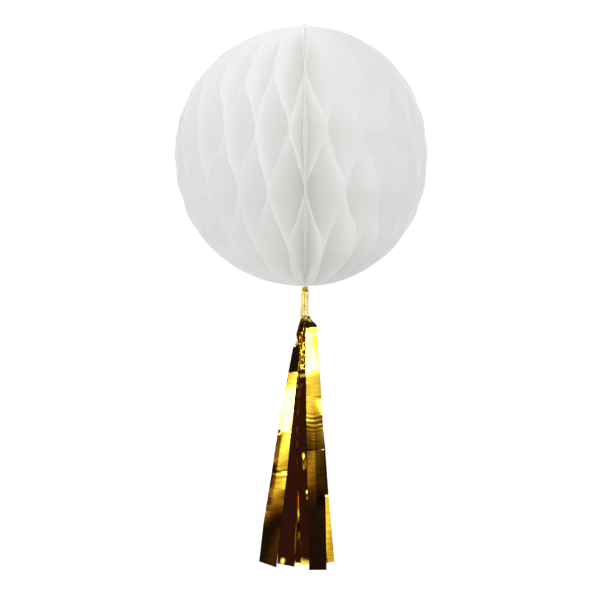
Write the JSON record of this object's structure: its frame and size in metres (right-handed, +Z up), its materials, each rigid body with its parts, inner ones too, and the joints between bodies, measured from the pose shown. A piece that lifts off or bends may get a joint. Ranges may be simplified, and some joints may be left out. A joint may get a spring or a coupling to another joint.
{
  "type": "paper honeycomb ball",
  "caption": "Hanging decoration: a tissue honeycomb ball that opens like a fan about its spine cord, with a foil strip tassel on a ribbon loop.",
  "frame": {"origin": "centre of the thread eye at the top that the ball hangs from", "axes": "+Z up along the spine cord, -Y towards the seam where the two cover cards meet, +X to the right as seen from the seam"},
  "size_m": [0.2992, 0.2992, 0.6293],
  "materials": {
    "tissue": "matt thin tissue",
    "card": "matt white",
    "pad": "satin double-sided adhesive",
    "thread": "twisted white thread",
    "ribbon": "pale gold metallic ribbon",
    "foil": "mirror gold film"
  },
  "bodies": {
    "ball_core": {"spine_cord": "thread", "cover_card_right": "card", "closure_pad_upper": "pad", "closure_pad_lower": "pad"},
    "cover_left": {"cover_card_left": "card"},
    "sheet_01": {"tissue_sheet_01": "tissue"},
    "sheet_02": {"tissue_sheet_02": "tissue"},
    "sheet_03": {"tissue_sheet_03": "tissue"},
    "sheet_04": {"tissue_sheet_04": "tissue"},
    "sheet_05": {"tissue_sheet_05": "tissue"},
    "sheet_06": {"tissue_sheet_06": "tissue"},
    "sheet_07": {"tissue_sheet_07": "tissue"},
    "sheet_08": {"tissue_sheet_08": "tissue"},
    "sheet_09": {"tissue_sheet_09": "tissue"},
    "sheet_10": {"tissue_sheet_10": "tissue"},
    "sheet_11": {"tissue_sheet_11": "tissue"},
    "sheet_12": {"tissue_sheet_12": "tissue"},
    "sheet_13": {"tissue_sheet_13": "tissue"},
    "sheet_14": {"tissue_sheet_14": "tissue"},
    "sheet_15": {"tissue_sheet_15": "tissue"},
    "sheet_16": {"tissue_sheet_16": "tissue"},
    "sheet_17": {"tissue_sheet_17": "tissue"},
    "sheet_18": {"tissue_sheet_18": "tissue"},
    "sheet_19": {"tissue_sheet_19": "tissue"},
    "sheet_20": {"tissue_sheet_20": "tissue"},
    "sheet_21": {"tissue_sheet_21": "tissue"},
    "sheet_22": {"tissue_sheet_22": "tissue"},
    "sheet_23": {"tissue_sheet_23": "tissue"},
    "sheet_24": {"tissue_sheet_24": "tissue"},
    "sheet_25": {"tissue_sheet_25": "tissue"},
    "sheet_26": {"tissue_sheet_26": "tissue"},
    "sheet_27": {"tissue_sheet_27": "tissue"},
    "sheet_28": {"tissue_sheet_28": "tissue"},
    "sheet_29": {"tissue_sheet_29": "tissue"},
    "sheet_30": {"tissue_sheet_30": "tissue"},
    "sheet_31": {"tissue_sheet_31": "tissue"},
    "sheet_32": {"tissue_sheet_32": "tissue"},
    "sheet_33": {"tissue_sheet_33": "tissue"},
    "sheet_34": {"tissue_sheet_34": "tissue"},
    "sheet_35": {"tissue_sheet_35": "tissue"},
    "sheet_36": {"tissue_sheet_36": "tissue"},
    "sheet_37": {"tissue_sheet_37": "tissue"},
    "sheet_38": {"tissue_sheet_38": "tissue"},
    "sheet_39": {"tissue_sheet_39": "tissue"},
    "sheet_40": {"tissue_sheet_40": "tissue"},
    "sheet_41": {"tissue_sheet_41": "tissue"},
    "sheet_42": {"tissue_sheet_42": "tissue"},
    "sheet_43": {"tissue_sheet_43": "tissue"},
    "sheet_44": {"tissue_sheet_44": "tissue"},
    "knot": {"ribbon_knot": "ribbon"},
    "ribbon": {"ribbon_loop": "ribbon"},
    "tassel": {"foil_strip_core": "foil"},
    "strip_left_front": {"foil_strip_left_front": "foil"},
    "strip_right_front": {"foil_strip_right_front": "foil"},
    "strip_centre_front": {"foil_strip_centre_front": "foil"},
    "strip_left_inner": {"foil_strip_left_inner": "foil"},
    "strip_left_back": {"foil_strip_left_back": "foil"},
    "strip_right_outer": {"foil_strip_right_outer": "foil"},
    "strip_right_inner": {"foil_strip_right_inner": "foil"},
    "strip_right_back": {"foil_strip_right_back": "foil"}
  },
  "joints": [
    {"name": "ball_fold", "type": "hinge", "parent": "ball_core", "child": "cover_left", "pos_m": [0, 0, -0.1508], "axis": [0, 0, -1], "range_deg": [0, 354.69]},
    {"name": "sheet_fold_01", "type": "hinge", "parent": "ball_core", "child": "sheet_01", "pos_m": [0, 0, -0.1508], "axis": [0, 0, -1], "range_deg": [0, 3.59]},
    {"name": "sheet_fold_02", "type": "hinge", "parent": "ball_core", "child": "sheet_02", "pos_m": [0, 0, -0.1508], "axis": [0, 0, -1], "range_deg": [0, 11.67]},
    {"name": "sheet_fold_03", "type": "hinge", "parent": "ball_core", "child": "sheet_03", "pos_m": [0, 0, -0.1508], "axis": [0, 0, -1], "range_deg": [0, 19.75]},
    {"name": "sheet_fold_04", "type": "hinge", "parent": "ball_core", "child": "sheet_04", "pos_m": [0, 0, -0.1508], "axis": [0, 0, -1], "range_deg": [0, 27.83]},
    {"name": "sheet_fold_05", "type": "hinge", "parent": "ball_core", "child": "sheet_05", "pos_m": [0, 0, -0.1508], "axis": [0, 0, -1], "range_deg": [0, 35.91]},
    {"name": "sheet_fold_06", "type": "hinge", "parent": "ball_core", "child": "sheet_06", "pos_m": [0, 0, -0.1508], "axis": [0, 0, -1], "range_deg": [0, 43.99]},
    {"name": "sheet_fold_07", "type": "hinge", "parent": "ball_core", "child": "sheet_07", "pos_m": [0, 0, -0.1508], "axis": [0, 0, -1], "range_deg": [0, 52.08]},
    {"name": "sheet_fold_08", "type": "hinge", "parent": "ball_core", "child": "sheet_08", "pos_m": [0, 0, -0.1508], "axis": [0, 0, -1], "range_deg": [0, 60.16]},
    {"name": "sheet_fold_09", "type": "hinge", "parent": "ball_core", "child": "sheet_09", "pos_m": [0, 0, -0.1508], "axis": [0, 0, -1], "range_deg": [0, 68.24]},
    {"name": "sheet_fold_10", "type": "hinge", "parent": "ball_core", "child": "sheet_10", "pos_m": [0, 0, -0.1508], "axis": [0, 0, -1], "range_deg": [0, 76.32]},
    {"name": "sheet_fold_11", "type": "hinge", "parent": "ball_core", "child": "sheet_11", "pos_m": [0, 0, -0.1508], "axis": [0, 0, -1], "range_deg": [0, 84.4]},
    {"name": "sheet_fold_12", "type": "hinge", "parent": "ball_core", "child": "sheet_12", "pos_m": [0, 0, -0.1508], "axis": [0, 0, -1], "range_deg": [0, 92.49]},
    {"name": "sheet_fold_13", "type": "hinge", "parent": "ball_core", "child": "sheet_13", "pos_m": [0, 0, -0.1508], "axis": [0, 0, -1], "range_deg": [0, 100.57]},
    {"name": "sheet_fold_14", "type": "hinge", "parent": "ball_core", "child": "sheet_14", "pos_m": [0, 0, -0.1508], "axis": [0, 0, -1], "range_deg": [0, 108.65]},
    {"name": "sheet_fold_15", "type": "hinge", "parent": "ball_core", "child": "sheet_15", "pos_m": [0, 0, -0.1508], "axis": [0, 0, -1], "range_deg": [0, 116.73]},
    {"name": "sheet_fold_16", "type": "hinge", "parent": "ball_core", "child": "sheet_16", "pos_m": [0, 0, -0.1508], "axis": [0, 0, -1], "range_deg": [0, 124.81]},
    {"name": "sheet_fold_17", "type": "hinge", "parent": "ball_core", "child": "sheet_17", "pos_m": [0, 0, -0.1508], "axis": [0, 0, -1], "range_deg": [0, 132.9]},
    {"name": "sheet_fold_18", "type": "hinge", "parent": "ball_core", "child": "sheet_18", "pos_m": [0, 0, -0.1508], "axis": [0, 0, -1], "range_deg": [0, 140.98]},
    {"name": "sheet_fold_19", "type": "hinge", "parent": "ball_core", "child": "sheet_19", "pos_m": [0, 0, -0.1508], "axis": [0, 0, -1], "range_deg": [0, 149.06]},
    {"name": "sheet_fold_20", "type": "hinge", "parent": "ball_core", "child": "sheet_20", "pos_m": [0, 0, -0.1508], "axis": [0, 0, -1], "range_deg": [0, 157.14]},
    {"name": "sheet_fold_21", "type": "hinge", "parent": "ball_core", "child": "sheet_21", "pos_m": [0, 0, -0.1508], "axis": [0, 0, -1], "range_deg": [0, 165.22]},
    {"name": "sheet_fold_22", "type": "hinge", "parent": "ball_core", "child": "sheet_22", "pos_m": [0, 0, -0.1508], "axis": [0, 0, -1], "range_deg": [0, 173.3]},
    {"name": "sheet_fold_23", "type": "hinge", "parent": "ball_core", "child": "sheet_23", "pos_m": [0, 0, -0.1508], "axis": [0, 0, -1], "range_deg": [0, 181.39]},
    {"name": "sheet_fold_24", "type": "hinge", "parent": "ball_core", "child": "sheet_24", "pos_m": [0, 0, -0.1508], "axis": [0, 0, -1], "range_deg": [0, 189.47]},
    {"name": "sheet_fold_25", "type": "hinge", "parent": "ball_core", "child": "sheet_25", "pos_m": [0, 0, -0.1508], "axis": [0, 0, -1], "range_deg": [0, 197.55]},
    {"name": "sheet_fold_26", "type": "hinge", "parent": "ball_core", "child": "sheet_26", "pos_m": [0, 0, -0.1508], "axis": [0, 0, -1], "range_deg": [0, 205.63]},
    {"name": "sheet_fold_27", "type": "hinge", "parent": "ball_core", "child": "sheet_27", "pos_m": [0, 0, -0.1508], "axis": [0, 0, -1], "range_deg": [0, 213.71]},
    {"name": "sheet_fold_28", "type": "hinge", "parent": "ball_core", "child": "sheet_28", "pos_m": [0, 0, -0.1508], "axis": [0, 0, -1], "range_deg": [0, 221.79]},
    {"name": "sheet_fold_29", "type": "hinge", "parent": "ball_core", "child": "sheet_29", "pos_m": [0, 0, -0.1508], "axis": [0, 0, -1], "range_deg": [0, 229.88]},
    {"name": "sheet_fold_30", "type": "hinge", "parent": "ball_core", "child": "sheet_30", "pos_m": [0, 0, -0.1508], "axis": [0, 0, -1], "range_deg": [0, 237.96]},
    {"name": "sheet_fold_31", "type": "hinge", "parent": "ball_core", "child": "sheet_31", "pos_m": [0, 0, -0.1508], "axis": [0, 0, -1], "range_deg": [0, 246.04]},
    {"name": "sheet_fold_32", "type": "hinge", "parent": "ball_core", "child": "sheet_32", "pos_m": [0, 0, -0.1508], "axis": [0, 0, -1], "range_deg": [0, 254.12]},
    {"name": "sheet_fold_33", "type": "hinge", "parent": "ball_core", "child": "sheet_33", "pos_m": [0, 0, -0.1508], "axis": [0, 0, -1], "range_deg": [0, 262.2]},
    {"name": "sheet_fold_34", "type": "hinge", "parent": "ball_core", "child": "sheet_34", "pos_m": [0, 0, -0.1508], "axis": [0, 0, -1], "range_deg": [0, 270.29]},
    {"name": "sheet_fold_35", "type": "hinge", "parent": "ball_core", "child": "sheet_35", "pos_m": [0, 0, -0.1508], "axis": [0, 0, -1], "range_deg": [0, 278.37]},
    {"name": "sheet_fold_36", "type": "hinge", "parent": "ball_core", "child": "sheet_36", "pos_m": [0, 0, -0.1508], "axis": [0, 0, -1], "range_deg": [0, 286.45]},
    {"name": "sheet_fold_37", "type": "hinge", "parent": "ball_core", "child": "sheet_37", "pos_m": [0, 0, -0.1508], "axis": [0, 0, -1], "range_deg": [0, 294.53]},
    {"name": "sheet_fold_38", "type": "hinge", "parent": "ball_core", "child": "sheet_38", "pos_m": [0, 0, -0.1508], "axis": [0, 0, -1], "range_deg": [0, 302.61]},
    {"name": "sheet_fold_39", "type": "hinge", "parent": "ball_core", "child": "sheet_39", "pos_m": [0, 0, -0.1508], "axis": [0, 0, -1], "range_deg": [0, 310.69]},
    {"name": "sheet_fold_40", "type": "hinge", "parent": "ball_core", "child": "sheet_40", "pos_m": [0, 0, -0.1508], "axis": [0, 0, -1], "range_deg": [0, 318.78]},
    {"name": "sheet_fold_41", "type": "hinge", "parent": "ball_core", "child": "sheet_41", "pos_m": [0, 0, -0.1508], "axis": [0, 0, -1], "range_deg": [0, 326.86]},
    {"name": "sheet_fold_42", "type": "hinge", "parent": "ball_core", "child": "sheet_42", "pos_m": [0, 0, -0.1508], "axis": [0, 0, -1], "range_deg": [0, 334.94]},
    {"name": "sheet_fold_43", "type": "hinge", "parent": "ball_core", "child": "sheet_43", "pos_m": [0, 0, -0.1508], "axis": [0, 0, -1], "range_deg": [0, 343.02]},
    {"name": "sheet_fold_44", "type": "hinge", "parent": "ball_core", "child": "sheet_44", "pos_m": [0, 0, -0.1508], "axis": [0, 0, -1], "range_deg": [0, 351.1]},
    {"name": "tassel_spin", "type": "hinge", "parent": "ball_core", "child": "knot", "pos_m": [0, 0, -0.3043], "axis": [0, 0, 1], "range_deg": [-180, 180]},
    {"name": "tassel_swing_side", "type": "hinge", "parent": "knot", "child": "ribbon", "pos_m": [0, 0, -0.3043], "axis": [0, 1, 0], "range_deg": [-45, 45]},
    {"name": "tassel_swing_fore", "type": "hinge", "parent": "ribbon", "child": "tassel", "pos_m": [0, 0, -0.338], "axis": [1, 0, 0], "range_deg": [-45, 45]},
    {"name": "tassel_spread", "type": "hinge", "parent": "tassel", "child": "strip_left_front", "pos_m": [0, 0, -0.338], "axis": [0, 1, 0], "range_deg": [0, 9]},
    {"name": "spread_right_front", "type": "hinge", "parent": "tassel", "child": "strip_right_front", "pos_m": [0, 0, -0.338], "axis": [0, 1, 0], "range_deg": [-3.11, 0]},
    {"name": "spread_centre_front", "type": "hinge", "parent": "tassel", "child": "strip_centre_front", "pos_m": [0, 0, -0.338], "axis": [0, 1, 0], "range_deg": [-0.9639, 0]},
    {"name": "spread_left_inner", "type": "hinge", "parent": "tassel", "child": "strip_left_inner", "pos_m": [0, 0, -0.338], "axis": [0, 1, 0], "range_deg": [0, 4.18]},
    {"name": "spread_left_back", "type": "hinge", "parent": "tassel", "child": "strip_left_back", "pos_m": [0, 0, -0.338], "axis": [0, 1, 0], "range_deg": [0, 1.93]},
    {"name": "spread_right_outer", "type": "hinge", "parent": "tassel", "child": "strip_right_outer", "pos_m": [0, 0, -0.338], "axis": [0, 1, 0], "range_deg": [-6.11, 0]},
    {"name": "spread_right_inner", "type": "hinge", "parent": "tassel", "child": "strip_right_inner", "pos_m": [0, 0, -0.338], "axis": [0, 1, 0], "range_deg": [-3.96, 0]},
    {"name": "spread_right_back", "type": "hinge", "parent": "tassel", "child": "strip_right_back", "pos_m": [0, 0, -0.338], "axis": [0, 1, 0], "range_deg": [-1.93, 0]}
  ],
  "couplings": [
    {"joint": "sheet_fold_01", "follows": "ball_fold", "ratio": 0.01011},
    {"joint": "sheet_fold_02", "follows": "ball_fold", "ratio": 0.032895},
    {"joint": "sheet_fold_03", "follows": "ball_fold", "ratio": 0.055681},
    {"joint": "sheet_fold_04", "follows": "ball_fold", "ratio": 0.078467},
    {"joint": "sheet_fold_05", "follows": "ball_fold", "ratio": 0.10125},
    {"joint": "sheet_fold_06", "follows": "ball_fold", "ratio": 0.12404},
    {"joint": "sheet_fold_07", "follows": "ball_fold", "ratio": 0.14682},
    {"joint": "sheet_fold_08", "follows": "ball_fold", "ratio": 0.16961},
    {"joint": "sheet_fold_09", "follows": "ball_fold", "ratio": 0.19239},
    {"joint": "sheet_fold_10", "follows": "ball_fold", "ratio": 0.21518},
    {"joint": "sheet_fold_11", "follows": "ball_fold", "ratio": 0.23797},
    {"joint": "sheet_fold_12", "follows": "ball_fold", "ratio": 0.26075},
    {"joint": "sheet_fold_13", "follows": "ball_fold", "ratio": 0.28354},
    {"joint": "sheet_fold_14", "follows": "ball_fold", "ratio": 0.30632},
    {"joint": "sheet_fold_15", "follows": "ball_fold", "ratio": 0.32911},
    {"joint": "sheet_fold_16", "follows": "ball_fold", "ratio": 0.35189},
    {"joint": "sheet_fold_17", "follows": "ball_fold", "ratio": 0.37468},
    {"joint": "sheet_fold_18", "follows": "ball_fold", "ratio": 0.39746},
    {"joint": "sheet_fold_19", "follows": "ball_fold", "ratio": 0.42025},
    {"joint": "sheet_fold_20", "follows": "ball_fold", "ratio": 0.44304},
    {"joint": "sheet_fold_21", "follows": "ball_fold", "ratio": 0.46582},
    {"joint": "sheet_fold_22", "follows": "ball_fold", "ratio": 0.48861},
    {"joint": "sheet_fold_23", "follows": "ball_fold", "ratio": 0.51139},
    {"joint": "sheet_fold_24", "follows": "ball_fold", "ratio": 0.53418},
    {"joint": "sheet_fold_25", "follows": "ball_fold", "ratio": 0.55696},
    {"joint": "sheet_fold_26", "follows": "ball_fold", "ratio": 0.57975},
    {"joint": "sheet_fold_27", "follows": "ball_fold", "ratio": 0.60254},
    {"joint": "sheet_fold_28", "follows": "ball_fold", "ratio": 0.62532},
    {"joint": "sheet_fold_29", "follows": "ball_fold", "ratio": 0.64811},
    {"joint": "sheet_fold_30", "follows": "ball_fold", "ratio": 0.67089},
    {"joint": "sheet_fold_31", "follows": "ball_fold", "ratio": 0.69368},
    {"joint": "sheet_fold_32", "follows": "ball_fold", "ratio": 0.71646},
    {"joint": "sheet_fold_33", "follows": "ball_fold", "ratio": 0.73925},
    {"joint": "sheet_fold_34", "follows": "ball_fold", "ratio": 0.76203},
    {"joint": "sheet_fold_35", "follows": "ball_fold", "ratio": 0.78482},
    {"joint": "sheet_fold_36", "follows": "ball_fold", "ratio": 0.80761},
    {"joint": "sheet_fold_37", "follows": "ball_fold", "ratio": 0.83039},
    {"joint": "sheet_fold_38", "follows": "ball_fold", "ratio": 0.85318},
    {"joint": "sheet_fold_39", "follows": "ball_fold", "ratio": 0.87596},
    {"joint": "sheet_fold_40", "follows": "ball_fold", "ratio": 0.89875},
    {"joint": "sheet_fold_41", "follows": "ball_fold", "ratio": 0.92153},
    {"joint": "sheet_fold_42", "follows": "ball_fold", "ratio": 0.94432},
    {"joint": "sheet_fold_43", "follows": "ball_fold", "ratio": 0.9671},
    {"joint": "sheet_fold_44", "follows": "ball_fold", "ratio": 0.98989},
    {"joint": "spread_right_front", "follows": "tassel_spread", "ratio": -0.3452},
    {"joint": "spread_centre_front", "follows": "tassel_spread", "ratio": -0.1071},
    {"joint": "spread_left_inner", "follows": "tassel_spread", "ratio": 0.4643},
    {"joint": "spread_left_back", "follows": "tassel_spread", "ratio": 0.2143},
    {"joint": "spread_right_outer", "follows": "tassel_spread", "ratio": -0.6786},
    {"joint": "spread_right_inner", "follows": "tassel_spread", "ratio": -0.4405},
    {"joint": "spread_right_back", "follows": "tassel_spread", "ratio": -0.2143}
  ]
}
